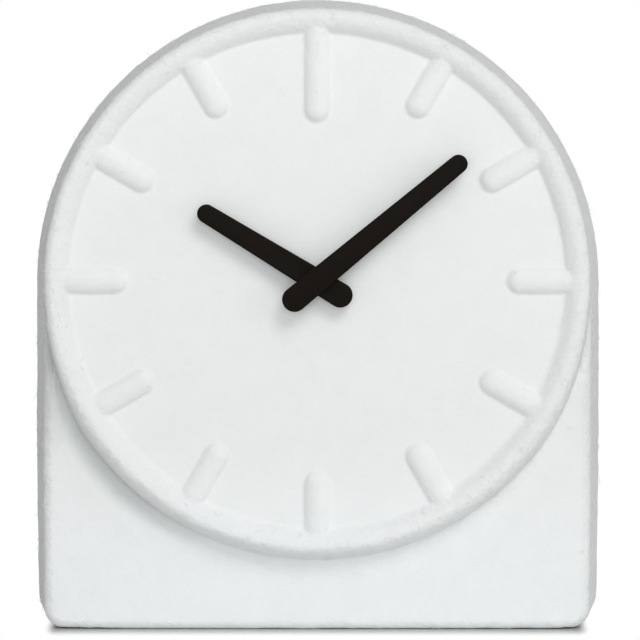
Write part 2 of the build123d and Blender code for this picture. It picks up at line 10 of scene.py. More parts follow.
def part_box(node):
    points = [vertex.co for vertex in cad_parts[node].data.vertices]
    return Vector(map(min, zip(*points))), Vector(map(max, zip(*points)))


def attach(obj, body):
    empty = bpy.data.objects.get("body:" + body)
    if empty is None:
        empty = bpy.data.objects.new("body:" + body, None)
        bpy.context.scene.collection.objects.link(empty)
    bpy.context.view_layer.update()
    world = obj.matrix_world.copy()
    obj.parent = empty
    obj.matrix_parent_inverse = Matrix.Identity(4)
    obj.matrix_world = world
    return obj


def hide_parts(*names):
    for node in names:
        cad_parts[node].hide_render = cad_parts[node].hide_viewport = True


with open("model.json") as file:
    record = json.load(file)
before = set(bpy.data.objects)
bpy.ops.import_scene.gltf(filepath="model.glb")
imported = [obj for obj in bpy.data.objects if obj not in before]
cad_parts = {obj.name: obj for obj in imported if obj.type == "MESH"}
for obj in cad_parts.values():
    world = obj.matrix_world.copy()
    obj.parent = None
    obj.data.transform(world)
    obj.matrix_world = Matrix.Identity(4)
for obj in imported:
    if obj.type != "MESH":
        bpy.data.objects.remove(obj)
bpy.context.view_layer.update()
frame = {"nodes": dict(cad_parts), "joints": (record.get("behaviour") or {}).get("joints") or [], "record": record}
mm = 0.001
tiny = 1e-9  # keeps a divisor off zero
print("frame loaded:", len(frame["nodes"]), "nodes")

# the dial's own frame, taken from the minute hand's joint
handStack = {"minuteDepth": 7.2 * mm}
minuteJoint = next(joint for joint in frame["joints"] if joint["name"] == "minute_turn")
dialOut = -Vector(minuteJoint["axis"]).normalized()
dialRight = Vector((1, 0, 0))
dialUp = dialOut.cross(dialRight)
dialCenter = Vector(minuteJoint["pos_m"]) - dialOut * handStack["minuteDepth"]
leanAngle = math.asin(dialOut.z)


def dialPoint(right, up, out):
    return dialCenter + dialRight * right + dialUp * up + dialOut * out


def smoothStep(low, high, value):
    share = np.clip((value - low) / (high - low), 0, 1)
    return share * share * (3 - 2 * share)


# evenly spaced values up to the end, without the first
def stepsTo(start, end, number):
    return np.linspace(start, end, number + 1)[1:]


# helpers for nodes; a tree belongs to a material, to the world or to Geometry Nodes
def link(tree, source, target):
    tree.links.new(source, target)


# a socket takes a value of its own or another node's output
def feed(tree, socket, value):
    if isinstance(value, bpy.types.NodeSocket):
        link(tree, value, socket)
    else:
        socket.default_value = value


def addNode(tree, kind, values=(), **options):
    node = tree.nodes.new(kind)
    for name, option in options.items():
        setattr(node, name, option)
    for name, value in dict(values).items():
        feed(tree, node.inputs[name], value)
    return node


def addMath(tree, operation, first, second):
    return addNode(tree, "ShaderNodeMath", {0: first, 1: second}, operation=operation).outputs[0]


def objectPlace(tree):
    return addNode(tree, "ShaderNodeTexCoord").outputs["Object"]


def storedValue(tree, name):
    return addNode(tree, "ShaderNodeAttribute", attribute_name=name).outputs["Fac"]


# 0 to 1 between two places along one of the object's axes
def alongAxis(tree, axis, low, high):
    split = addNode(tree, "ShaderNodeSeparateXYZ", {"Vector": objectPlace(tree)})
    share = addNode(tree, "ShaderNodeMapRange", {
        "Value": split.outputs[axis], "From Min": low, "From Max": high,
    })
    return share.outputs[0]


# noise on object coordinates; its grain has one size, or one for each axis, in metres
def grain(tree, size, turn=(0, 0, 0), detail=3.0, roughness=0.55, distortion=0.0):
    sizes = size if isinstance(size, tuple) else (size,) * 3
    mapping = addNode(tree, "ShaderNodeMapping", {
        "Vector": objectPlace(tree), "Rotation": turn, "Scale": [1 / length for length in sizes],
    })
    pattern = addNode(tree, "ShaderNodeTexNoise", {
        "Vector": mapping.outputs["Vector"], "Scale": 1.0, "Detail": detail, "Roughness": roughness,
        "Distortion": distortion,
    })
    return pattern.outputs[0]


def ramp(tree, source, stops):
    node = addNode(tree, "ShaderNodeValToRGB", {"Fac": source})
    elements = node.color_ramp.elements
    while len(elements) < len(stops):
        elements.new(0.5)
    for element, (place, color) in zip(elements, stops):
        element.position = place
        element.color = (*color, 1)
    return node.outputs["Color"]


def tones(tree, source, dark, pale, start=0.35, end=0.65):
    return ramp(tree, source, [(start, dark), (end, pale)])


def level(tree, source, low, high, start=0.3, end=0.7):
    return tones(tree, source, (low,) * 3, (high,) * 3, start, end)


def bump(tree, shader, height, depth, strength, before=None):
    node = addNode(tree, "ShaderNodeBump", {"Strength": strength, "Distance": depth, "Height": height})
    if before:
        link(tree, before, node.inputs["Normal"])
    link(tree, node.outputs["Normal"], shader.inputs["Normal"])
    return node.outputs["Normal"]


def mixColors(tree, factor, first, second, blend="MIX"):
    first, second = [(*color, 1) if isinstance(color, tuple) else color for color in (first, second)]
    values = {0: factor, 6: first, 7: second}  # sockets 6 and 7 take colours
    return addNode(tree, "ShaderNodeMix", values, data_type="RGBA", blend_type=blend).outputs[2]


def newMaterial(name, roughness, metallic=0.0, specular=0.5):
    material = bpy.data.materials.new(name)
    material.use_nodes = True
    tree = material.node_tree
    shader = tree.nodes["Principled BSDF"]
    shader.inputs["Roughness"].default_value = roughness
    shader.inputs["Metallic"].default_value = metallic
    shader.inputs["Specular IOR Level"].default_value = specular
    return material, tree, shader


# pressed wool felt: cloudy white, crossing fibres, soft sheen
feltLook = {
    "pale": (0.862, 0.885, 0.876), "dull": (0.846, 0.869, 0.860), "fibre": (0.80, 0.822, 0.814),
    "roughness": 0.95, "specular": 0.12, "sheen": 0.22, "sheenRoughness": 0.55,
    "cloud": 9 * mm, "cloudStart": 0.36, "cloudEnd": 0.62,
    "fibreWidth": 0.28 * mm, "fibreLength": 2.4 * mm, "fibreBend": 0.8,
    "leftTurn": (0.3, 0.7, 0.2), "rightTurn": (0.2, -0.5, 0.9),
    "fibreStart": 0.55, "fibreEnd": 0.75, "fibreShare": 0.5, "fibreDepth": 0.3 * mm, "fibreStrength": 0.6,
    "lump": 2.6 * mm, "lumpDepth": 1.1 * mm, "lumpStrength": 0.7,
    "footTint": (1.05, 1.05, 1.06), "footLow": 30 * mm, "footHigh": 62 * mm,
    "paintedShadeTint": (0.69, 0.70, 0.70), "noTint": (1.0, 1.0, 1.0),
}


def feltMaterial():
    look = feltLook
    material, tree, shader = newMaterial("pressedFelt", look["roughness"], specular=look["specular"])
    shader.inputs["Sheen Weight"].default_value = look["sheen"]
    shader.inputs["Sheen Roughness"].default_value = look["sheenRoughness"]
    cloud = grain(tree, look["cloud"], detail=4)
    cloudColor = tones(tree, cloud, look["dull"], look["pale"], look["cloudStart"], look["cloudEnd"])
    thin, long, curl = look["fibreWidth"], look["fibreLength"], look["fibreBend"]
    leftFibres = grain(tree, (thin, thin, long), look["leftTurn"], detail=2, distortion=curl)
    rightFibres = grain(tree, (long, thin, thin), look["rightTurn"], detail=2, distortion=curl)
    fibres = addMath(tree, "MAXIMUM", leftFibres, rightFibres)
    fibreMask = level(tree, fibres, 0, look["fibreShare"], look["fibreStart"], look["fibreEnd"])
    tone = mixColors(tree, fibreMask, cloudColor, look["fibre"])
    # a little paler towards the foot, and painted shade where the felt folds under the rim, darkest at the lower
    # left
    height = alongAxis(tree, "Z", look["footLow"], look["footHigh"])
    tint = mixColors(tree, height, look["footTint"], look["noTint"])
    shade = mixColors(tree, storedValue(tree, "paintedShade"), look["noTint"], look["paintedShadeTint"])
    for layer in (tint, shade):
        tone = mixColors(tree, 1.0, tone, layer, "MULTIPLY")
    link(tree, tone, shader.inputs["Base Color"])
    # the dial is pressed smooth, the edges stay woolly
    woolly = storedValue(tree, "fuzz")
    lumps = grain(tree, look["lump"], detail=4, roughness=0.7)
    normal = None
    for height, depth, strength in (
        (lumps, look["lumpDepth"], look["lumpStrength"]), (fibres, look["fibreDepth"], look["fibreStrength"]),
    ):
        centered = addMath(tree, "SUBTRACT", height, 0.5)
        normal = bump(tree, shader, addMath(tree, "MULTIPLY", centered, woolly), depth, strength, normal)
    return material


fibreLook = {
    "dark": (0.84, 0.855, 0.848), "pale": (0.90, 0.91, 0.905), "grain": 2.0 * mm,
    "roughness": 0.9, "specular": 0.1, "sheen": 0.3,
}


def fibreMaterial():
    look = fibreLook
    material, tree, shader = newMaterial("looseFibre", look["roughness"], specular=look["specular"])
    shader.inputs["Sheen Weight"].default_value = look["sheen"]
    drift = grain(tree, look["grain"])
    link(tree, tones(tree, drift, look["dark"], look["pale"]), shader.inputs["Base Color"])
    return material


# moulded plastics: fine spark texture and a slow drift of tone
plasticLook = {"drift": 22 * mm, "unevenGloss": 0.08, "strength": 0.35}


def plasticMaterial(name, dark, pale, roughness, texture, depth, specular=0.4):
    material, tree, shader = newMaterial(name, roughness, specular=specular)
    uneven = plasticLook["unevenGloss"]
    drift = grain(tree, plasticLook["drift"], detail=2)
    spark = grain(tree, texture, detail=2)
    link(tree, tones(tree, drift, dark, pale), shader.inputs["Base Color"])
    link(tree, level(tree, spark, roughness - uneven, roughness + uneven), shader.inputs["Roughness"])
    bump(tree, shader, spark, depth, plasticLook["strength"])
    return material


plastics = {
    "case_plastic": {
        "name": "casePlastic", "dark": (0.76, 0.765, 0.755), "pale": (0.80, 0.805, 0.80),
        "roughness": 0.5, "texture": 0.45 * mm, "depth": 0.05 * mm,
    },
    "movement_plastic": {
        "name": "movementPlastic", "dark": (0.016, 0.016, 0.017), "pale": (0.024, 0.024, 0.025),
        "roughness": 0.48, "texture": 0.35 * mm, "depth": 0.05 * mm,
    },
    "gear_plastic": {
        "name": "acetal", "dark": (0.80, 0.79, 0.74), "pale": (0.86, 0.85, 0.81),
        "roughness": 0.38, "texture": 0.4 * mm, "depth": 0.02 * mm,
    },
    "board_laminate": {
        "name": "paperLaminate", "dark": (0.30, 0.19, 0.07), "pale": (0.42, 0.28, 0.11),
        "roughness": 0.55, "texture": 0.5 * mm, "depth": 0.03 * mm,
    },
    "chip_resin": {
        "name": "chipResin", "dark": (0.010, 0.010, 0.011), "pale": (0.018, 0.018, 0.019),
        "roughness": 0.2, "texture": 1.2 * mm, "depth": 0.04 * mm,
    },
    "hand_black": {
        "name": "handPaint", "dark": (0.0060, 0.0042, 0.0028), "pale": (0.0070, 0.0050, 0.0034),
        "roughness": 0.55, "texture": 0.5 * mm, "depth": 0.02 * mm, "specular": 0.05,
    },
    "knob_plastic": {
        "name": "knobPlastic", "dark": (0.020, 0.020, 0.021), "pale": (0.030, 0.030, 0.031),
        "roughness": 0.45, "texture": 0.35 * mm, "depth": 0.04 * mm,
    },
}

# metals: brush marks along one direction, uneven gloss
metalLook = {"stain": 5 * mm, "unevenGloss": 0.1, "depth": 0.02 * mm, "strength": 0.3}


def metalMaterial(name, dark, pale, roughness, brush):
    material, tree, shader = newMaterial(name, roughness, metallic=1.0)
    uneven = metalLook["unevenGloss"]
    marks = grain(tree, brush, detail=2)
    stain = grain(tree, metalLook["stain"], detail=3)
    link(tree, tones(tree, stain, dark, pale), shader.inputs["Base Color"])
    link(tree, level(tree, marks, roughness - uneven, roughness + uneven), shader.inputs["Roughness"])
    bump(tree, shader, marks, metalLook["depth"], metalLook["strength"])
    return material


metals = {
    "screw_steel": {
        "name": "zincSteel", "dark": (0.42, 0.42, 0.44), "pale": (0.62, 0.62, 0.63),
        "roughness": 0.34, "brush": 0.4 * mm,
    },
    "motor_iron": {
        "name": "stampedIron", "dark": (0.36, 0.36, 0.37), "pale": (0.5, 0.5, 0.51),
        "roughness": 0.42, "brush": (4 * mm, 0.3 * mm, 0.3 * mm),
    },
    "nickel_can": {
        "name": "nickelCan", "dark": (0.62, 0.61, 0.58), "pale": (0.74, 0.73, 0.70),
        "roughness": 0.22, "brush": (3 * mm, 0.2 * mm, 0.2 * mm),
    },
    "contact_metal": {
        "name": "springStrip", "dark": (0.60, 0.59, 0.55), "pale": (0.75, 0.74, 0.70),
        "roughness": 0.28, "brush": (0.3 * mm, 3 * mm, 0.3 * mm),
    },
    "brass": {
        "name": "turnedBrass", "dark": (0.62, 0.42, 0.16), "pale": (0.78, 0.57, 0.25),
        "roughness": 0.28, "brush": (0.5 * mm, 0.15 * mm, 0.5 * mm),
    },
    "magnet": {
        "name": "sinteredMagnet", "dark": (0.16, 0.16, 0.17), "pale": (0.26, 0.26, 0.27),
        "roughness": 0.5, "brush": 0.5 * mm,
    },
}

# plain cell: dark jacket and a coloured band, split along the cell's own length, between bare metal ends
cellLook = {
    "jacket": (0.030, 0.034, 0.040), "band": (0.52, 0.33, 0.14), "bandShare": 0.24, "seam": 0.002,
    "roughness": 0.32, "metallic": 0.6, "scuff": (0.6 * mm, 4 * mm, 4 * mm), "scuffGloss": (0.26, 0.42),
    "scuffDepth": 0.02 * mm, "scuffStrength": 0.2,
    "ends": {
        "name": "cellEnds", "dark": (0.62, 0.61, 0.58), "pale": (0.76, 0.75, 0.72),
        "roughness": 0.25, "brush": (0.3 * mm, 1.5 * mm, 1.5 * mm),
    },
}


def cellMaterial(low, high):
    look = cellLook
    material, tree, shader = newMaterial("cellJacket", look["roughness"], metallic=look["metallic"])
    jacket, band, edge = look["jacket"], look["band"], 1 - look["bandShare"]
    bands = ramp(tree, alongAxis(tree, "X", low, high), [
        (0.0, jacket), (edge - look["seam"], jacket), (edge, band), (1.0, band),
    ])
    link(tree, bands, shader.inputs["Base Color"])
    scuffs = grain(tree, look["scuff"], detail=3)
    link(tree, level(tree, scuffs, *look["scuffGloss"]), shader.inputs["Roughness"])
    bump(tree, shader, scuffs, look["scuffDepth"], look["scuffStrength"])
    return material


windingLook = {
    "dark": (0.36, 0.13, 0.05), "pale": (0.72, 0.34, 0.14), "darkEnd": 0.2, "paleStart": 0.7,
    "pitch": 0.9 * mm, "waver": 0.15, "depth": 0.08 * mm, "strength": 0.6, "roughness": 0.35, "metallic": 0.9,
}


def windingMaterial():
    look = windingLook
    material, tree, shader = newMaterial("enamelledWire", look["roughness"], metallic=look["metallic"])
    wire = addNode(tree, "ShaderNodeTexWave", {
        "Vector": objectPlace(tree), "Scale": 1 / look["pitch"], "Distortion": look["waver"],
    }, bands_direction="Z").outputs[0]
    copper = tones(tree, wire, look["dark"], look["pale"], look["darkEnd"], look["paleStart"])
    link(tree, copper, shader.inputs["Base Color"])
    bump(tree, shader, wire, look["depth"], look["strength"])
    return material


batteryLow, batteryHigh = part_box("battery")
looks = {
    "felt": feltMaterial(), "copper_wire": windingMaterial(),
    "cell_jacket": cellMaterial(batteryLow.x, batteryHigh.x),
}
looks.update({slotName: plasticMaterial(**setting) for slotName, setting in plastics.items()})
looks.update({slotName: metalMaterial(**setting) for slotName, setting in metals.items()})
cellEnds = metalMaterial(**cellLook["ends"])
looseFibre = fibreMaterial()
nodeSlots = {entry["node"]: entry["material_slot"] for entry in frame["record"]["subparts"]}
for nodeName, nodeObject in frame["nodes"].items():
    nodeObject.data.materials.clear()
    nodeObject.data.materials.append(looks[nodeSlots[nodeName]])
print("materials made:", len(looks) + 2)


def placePiece(mesh, name, material, body, replaced=()):
    piece = bpy.data.objects.new(name, mesh)
    bpy.context.scene.collection.objects.link(piece)
    mesh.materials.clear()
    mesh.materials.append(material)
    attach(piece, body)
    if replaced:
        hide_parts(*replaced)


def smoothMesh(mesh, sharpAngle=None):
    mesh.shade_smooth()
    if sharpAngle:
        mesh.set_sharp_from_angle(angle=math.radians(sharpAngle))
    return mesh


def pointMesh(name, points, faces, sharpAngle=None):
    mesh = bpy.data.meshes.new(name)
    mesh.from_pydata([tuple(point) for point in points], [], faces)
    mesh.update()
    return smoothMesh(mesh, sharpAngle)


def shapeMesh(name, shape):
    mesh = bpy.data.meshes.new(name)
    shape.to_mesh(mesh)
    shape.free()
    return mesh


# faces between two closed rows of points, given by their first points
def bandFaces(first, second, count):
    faces = []
    for step in range(count):
        following = (step + 1) % count
        faces.append((first + step, first + following, second + following, second + step))
    return faces


def storeValues(mesh, name, values):
    attribute = mesh.attributes.new(name, "FLOAT", "POINT")
    attribute.data.foreach_set("value", values)


# felt case: rings round the dial's axis, from the hand hole out over the rim, down the walls and back inside
feltForm = {
    # points round the dial, closer together at the bars and at the foot's corners, in degrees
    "around": 672, "cornerTurns": (142, 218), "closeRange": (3.6, 5.0), "turnSamples": 20001,
    # hand hole and dial
    "holeRadius": 3.4 * mm, "holeEdge": 0.8 * mm, "plainRadius": 52 * mm, "dialRadius": 83.9 * mm,
    # rim and its inner slope, steeper above the middle than below
    "slopeWidth": 5.9 * mm, "rimRounding": 2.5 * mm, "rimRise": 3.8 * mm,
    "upperFoot": 0.13, "upperSoftness": 0.4 * mm, "lowerFoot": 0.30, "lowerSoftness": 0.9 * mm,
    "upperRange": (-0.35, 0.35), "slopeBelly": 0.42, "slopeBrow": 0.5, "slopeSamples": 40, "softSteps": 7,
    # hour bars
    "barLength": 19.6 * mm, "noonBarLength": 30.1 * mm, "barBase": 4.2 * mm, "barRise": 2.6 * mm,
    "barRoundness": 0.62, "barSoftness": 0.15 * mm, "barBlend": 0.8 * mm,
    # walls and foot
    "draft": math.radians(5.0), "back": -56.2 * mm, "backEdge": 0.8 * mm, "thickness": 3.0 * mm,
    "edgeRadius": 3.0 * mm, "cornerRadius": 6.3 * mm, "rearCornerRadius": 6.0 * mm, "leastCorner": 1.0 * mm,
    "footBow": 0.6 * mm, "bowPower": 5, "bowRange": (85 * mm, 117 * mm),
    "footNarrow": 0.7 * mm, "narrowRange": (35 * mm, 117 * mm),
    # lower face, and the fold between it and the rim, wider and deeper at the left
    "faceRecess": 0.2 * mm, "faceLean": 0.76 * math.tan(leanAngle), "creviceReach": 4.5 * mm,
    "lowRange": (0.05, 0.6), "leftRange": (0.2, 0.75), "settleRounds": 3,
    "wallFillet": 0.7 * mm, "wallShare": 0.8,
    "faceFillet": 2.2 * mm, "leftFillet": 6.5 * mm, "faceShare": 0.7,
    "groove": 0.3 * mm, "leftGroove": 4.5 * mm, "closedWidth": 2.0 * mm, "closedDrop": 0.12 * mm,
    # how strong the painted shade is in the fold under the rim, and in the narrow strip beside the rim
    "shadeLeast": 0.06, "shadeTop": 0.1, "shadeWall": 0.45, "shadeFold": 1.15, "foldPower": 1.2,
    "shadeFace": 0.1, "faceFade": 2.5,
    "stripLeast": 0.2, "stripRange": (0.05, 0.25), "stripWidth": 14 * mm, "stripFade": 1.4,
    # inside
    "innerRadius": 88.0 * mm, "innerStep": -30 * mm, "innerGap": 0.5 * mm,
    # rings of points in each stretch, and how woolly it is
    "rings": {
        "hole": 3, "plain": 8, "bars": 48, "slope": 16, "crest": 10, "wall": 3, "fold": 7, "face": 12,
        "edge": 8, "side": 9, "back": 3,
    },
    "fuzz": {
        "plain": 0.1, "dial": 0.15, "bars": 0.22, "slope": 0.5, "crest": 1.0, "wall": 0.9, "fold": 0.5,
        "face": 0.22, "edge": 0.9, "side": 0.6, "back": 0.4,
    },
    "fuzzyHeight": 0.6 * mm,
}


def spreadTurns(count):
    fine = np.linspace(0, 2 * math.pi, feltForm["turnSamples"])
    weight = np.ones(len(fine))
    for middle in (*range(0, 360, 30), *feltForm["cornerTurns"]):
        apart = np.abs((np.degrees(fine) - middle + 180) % 360 - 180)
        weight += 1 - smoothStep(*feltForm["closeRange"], apart)
    total = np.concatenate([[0], np.cumsum(weight[1:])])
    return np.interp(np.arange(count) / count, total / total[-1], fine)


# a ring's points in space, with the foot's slight bow and narrowing
def ringPoints(right, up, out, rimRadius):
    form = feltForm
    narrow = form["footNarrow"] / rimRadius * smoothStep(*form["narrowRange"], -up) ** 2
    right = right * (1 - narrow)
    bow = form["footBow"] * np.abs(right / rimRadius) ** form["bowPower"] * smoothStep(*form["bowRange"], -up)
    points = np.array(dialCenter) + np.outer(right, dialRight) + np.outer(up, dialUp) + np.outer(out, dialOut)
    points[:, 2] += bow
    return points


def buildFelt():
    form, rows, woolly = feltForm, feltForm["rings"], feltForm["fuzz"]
    count = form["around"]
    angle = spreadTurns(count)
    across, upward = np.sin(angle), np.cos(angle)
    crestRadius = form["dialRadius"] + form["slopeWidth"]
    rimRadius = crestRadius + form["rimRounding"]
    rimBase = form["rimRise"] - form["rimRounding"]

    def wallRadius(out):
        return rimRadius + (rimBase - out) * math.tan(form["draft"])

    def faceDepth(radius):
        return -form["faceRecess"] + np.minimum(radius * upward, 0) * form["faceLean"]

    # below the middle the rim is rounder and spreads as it sinks into the lower face
    lowShare = smoothStep(*form["lowRange"], -upward)
    faceLevel = faceDepth(rimRadius)

    def rimSide(radius, out):
        height = np.clip((out - faceLevel) / (form["rimRise"] - faceLevel), 0, 1)
        rounder = crestRadius + form["creviceReach"] * np.sqrt(1 - height ** 2)
        return radius + np.maximum(rounder - radius, 0) * lowShare

    def rimWall(out):
        return rimSide(wallRadius(out), out)

    # distance from the axis to the case's outline: an arc above, straight sides with rounded corners below
    def outline(out, inset):
        side = wallRadius(out) - inset
        foot = (dialCenter.z + out * math.sin(leanAngle) - inset) / math.cos(leanAngle)
        rearward = smoothStep(0, -form["back"], -out)
        corner = form["cornerRadius"] + (form["rearCornerRadius"] - form["cornerRadius"]) * rearward
        corner = np.maximum(corner - inset, form["leastCorner"])
        right, down = np.abs(across), np.maximum(-upward, tiny)
        straight = np.minimum(side / np.maximum(right, tiny), foot / down)
        cornerX, cornerY = side - corner, foot - corner
        inCorner = (straight * right > cornerX) & (straight * down > cornerY)
        middle = right * cornerX + down * cornerY
        rest = middle ** 2 - cornerX ** 2 - cornerY ** 2 + corner ** 2
        rounded = middle + np.sqrt(np.maximum(rest, 0))
        return np.where(upward < 0, np.where(inCorner, rounded, straight), side)

    # the rim's inner side: steep at the dial, more so above, and flat at the crest
    along = np.linspace(0, 1, form["slopeSamples"])
    early, late, last = 3 * (1 - along) ** 2 * along, 3 * (1 - along) * along ** 2, along ** 3
    slopeHeights = form["rimRise"] * (form["slopeBelly"] * early + late + last)
    upperShare = smoothStep(*form["upperRange"], upward)
    softSteps = np.linspace(-1, 1, form["softSteps"])

    def slopeHeight(radius, footReach, softness):
        reach = footReach * early + form["slopeBrow"] * late + last
        slopeRadii = form["dialRadius"] + form["slopeWidth"] * reach
        return np.interp(radius + softSteps * softness, slopeRadii, slopeHeights).mean()

    def barHeight(radius, hour):
        turn = math.radians(30 * hour)
        length = form["noonBarLength"] if hour == 0 else form["barLength"]
        start = form["dialRadius"] - length + form["barBase"]
        forward, beside = radius * np.cos(angle - turn), radius * np.sin(angle - turn)
        distance = np.where(forward > 0, np.hypot(np.minimum(forward - start, 0), beside), np.inf)
        bar = np.zeros(count)
        for spread in softSteps * form["barSoftness"]:
            fall = np.clip((distance + spread) / form["barBase"], 0, 1)
            bar += form["barRise"] * (1 - fall ** 2) ** form["barRoundness"] / len(softSteps)
        return bar

    # height of the dial: rim slope and twelve soft bars, blended where they meet
    def dialHeight(radius):
        below = slopeHeight(radius, form["lowerFoot"], form["lowerSoftness"])
        above = slopeHeight(radius, form["upperFoot"], form["upperSoftness"])
        height = below * (1 - upperShare) + above * upperShare
        blend = form["barBlend"]
        for hour in range(12):
            bar = barHeight(radius, hour)
            share = np.clip(0.5 + 0.5 * (bar - height) / blend, 0, 1) * (bar > 0)
            height = height * (1 - share) + bar * share + blend * share * (1 - share)
        return height

    rings = []

    def ring(radius, out, rough=0.0, paintedShade=0.0):
        each = np.ones(count)
        rings.append((radius * each, out * each, rough * each, paintedShade * each))

    hole, holeEdge = form["holeRadius"], form["holeEdge"]
    plain, inside = form["plainRadius"], form["thickness"]
    ring(hole, -inside)
    ring(hole, -holeEdge)
    for turn in stepsTo(0, math.pi / 2, rows["hole"]):
        ring(hole + holeEdge * (1 - math.cos(turn)), -holeEdge * (1 - math.sin(turn)))
    for radius in stepsTo(hole + holeEdge, plain, rows["plain"]):
        ring(radius, dialHeight(radius), woolly["plain"])
    flatEnd = form["dialRadius"] - form["lowerSoftness"]
    for start, end, stretch in ((plain, flatEnd, "bars"), (flatEnd, crestRadius, "slope")):
        for radius in stepsTo(start, end, rows[stretch]):
            height = dialHeight(radius)
            raised = np.clip(height / form["fuzzyHeight"], 0, 1)
            ring(radius, height, woolly["dial"] + woolly[stretch] * raised)
    for turn in stepsTo(0, math.pi / 2 - form["draft"], rows["crest"]):
        out = rimBase + form["rimRounding"] * math.cos(turn)
        ring(rimSide(crestRadius + form["rimRounding"] * math.sin(turn), out), out, woolly["crest"])

    # rim wall down to the lower face, with a soft crevice; above the middle this is just the side wall
    startOut = rings[-1][1]
    creviceOut, edge = faceLevel, form["edgeRadius"]
    for _ in range(form["settleRounds"]):
        creviceRadius = rimWall(creviceOut)
        creviceOut = faceDepth(creviceRadius)
    faceEnd = outline(creviceOut, edge)
    for _ in range(form["settleRounds"]):
        faceEnd = outline(faceDepth(faceEnd), edge)
    faceWidth = np.maximum(faceEnd, creviceRadius) - creviceRadius
    closed = 1 - smoothStep(0.0, form["closedWidth"], faceWidth)
    leftShare = smoothStep(*form["leftRange"], -across)
    wallFillet = np.minimum(form["wallFillet"], form["wallShare"] * (startOut - creviceOut))
    faceFillet = form["faceFillet"] + form["leftFillet"] * leftShare
    faceFillet = np.minimum(faceFillet, form["faceShare"] * faceWidth)
    filletOut = creviceOut + wallFillet * (1 - closed)
    groove = (form["groove"] + form["leftGroove"] * leftShare) * (1 - closed)
    groove = groove * np.minimum(faceFillet / form["leftFillet"], 1)
    # painted shade: the felt colour darkens in the fold under the rim, strongest at the lower left, and in the
    # narrow face strip beside it
    shadeShare = form["shadeLeast"] + (1 - form["shadeLeast"]) * leftShare
    shadeShare = shadeShare * (upward < form["shadeTop"])
    stripShade = form["stripLeast"] + (1 - form["stripLeast"]) * leftShare
    stripShade = stripShade * smoothStep(*form["stripRange"], -upward)
    stripShade = stripShade * np.clip(1 - faceWidth / form["stripWidth"], 0, 1)
    for share in stepsTo(0, 1, rows["wall"]):
        out = startOut + (filletOut - startOut) * share
        ring(rimWall(out), out, woolly["wall"], form["shadeWall"] * share * shadeShare)
    drop = 0.0

    def addLower(radius, out, rough, paintedShade):
        nonlocal drop
        drop += form["closedDrop"]
        out = out - closed * drop
        ring(np.maximum(radius, wallRadius(out) * (closed > 0)), out, rough, np.maximum(paintedShade, stripShade))

    def bend(first, middle, last, share):
        return (1 - share) ** 2 * first + 2 * share * (1 - share) * middle + share ** 2 * last

    foldEnd = creviceRadius + faceFillet
    for share in stepsTo(0, 1, rows["fold"]):
        radius = bend(rimWall(filletOut), creviceRadius, foldEnd, share)
        out = bend(filletOut, creviceOut - groove, faceDepth(foldEnd), share)
        paintedShade = min(1.0, form["shadeFold"] - share) ** form["foldPower"] * shadeShare
        addLower(radius, out, woolly["fold"], paintedShade)
    for share in stepsTo(0, 1, rows["face"]):
        radius = foldEnd + (faceWidth - faceFillet) * share
        paintedShade = form["shadeFace"] * max(0.0, 1 - form["faceFade"] * share) * shadeShare
        addLower(radius, faceDepth(radius), woolly["face"], paintedShade)

    # front edge, side walls and back edge
    faceOut = rings[-1][1]
    # the strip's painted shade fades round the front edge
    for turn in stepsTo(0, math.pi / 2, rows["edge"]):
        out = faceOut - edge * (1 - math.cos(turn))
        reach = np.maximum(outline(out, edge * (1 - math.sin(turn))), wallRadius(out))
        ring(reach, out, woolly["edge"], stripShade * (1 - form["stripFade"] * turn / math.pi))
    sideOut = rings[-1][1]
    back, backEdge = form["back"], form["backEdge"]
    for share in stepsTo(0, 1, rows["side"]):
        out = sideOut + (back + backEdge - sideOut) * share
        ring(np.maximum(outline(out, 0), wallRadius(out)), out, woolly["side"])
    for turn in stepsTo(0, math.pi / 2, rows["back"]):
        out = back + backEdge * (1 - math.sin(turn))
        ring(outline(out, backEdge * (1 - math.cos(turn))), out, woolly["back"])

    # inside: inner walls and the back of the dial, down to the hole again
    innerOut = faceOut - inside
    for out in (back, form["innerStep"], innerOut):
        ring(outline(out, inside), out)
    ring(np.minimum(form["innerRadius"], outline(innerOut, inside) - form["innerGap"]), innerOut)
    ring(form["innerRadius"], -inside)
    ring(plain, -inside)

    radii, outs, roughness, paintedShades = zip(*rings)
    points, faces = [], []
    for radius, out in zip(radii, outs):
        points.append(ringPoints(radius * across, radius * upward, out, rimRadius))
    for row in range(len(rings)):
        faces += bandFaces(row * count, (row + 1) % len(rings) * count, count)
    mesh = pointMesh("feltCase", np.concatenate(points), faces)
    # the painted shade goes to the felt's colour as an attribute
    storeValues(mesh, "paintedShade", np.concatenate(paintedShades))
    return mesh, np.concatenate(roughness)


# uneven pressing: slow waves and small lumps along the edges, hardly any on the dial, heights in mm
feltWaves = {"slow": 90, "slowHeight": 0.20, "fine": 300, "fineHeight": 0.20}


def roughenFelt(mesh, roughness):
    waves = feltWaves
    storeValues(mesh, "fuzz", roughness)
    normals = [vertex.normal.copy() for vertex in mesh.vertices]
    for vertex, normal, rough in zip(mesh.vertices, normals, roughness):
        if rough > 0:
            wave = noise.noise(vertex.co * waves["slow"]) * waves["slowHeight"]
            wave += noise.noise(vertex.co * waves["fine"]) * waves["fineHeight"]
            vertex.co += normal * (wave * rough * mm)
        if vertex.co.z < 0:
            vertex.co.z = 0
    mesh.update()


feltMesh, feltRoughness = buildFelt()
roughenFelt(feltMesh, feltRoughness)
placePiece(feltMesh, "feltCase", looks["felt"], "case", ["felt_shell"])
print("felt case:", len(feltMesh.polygons), "faces")


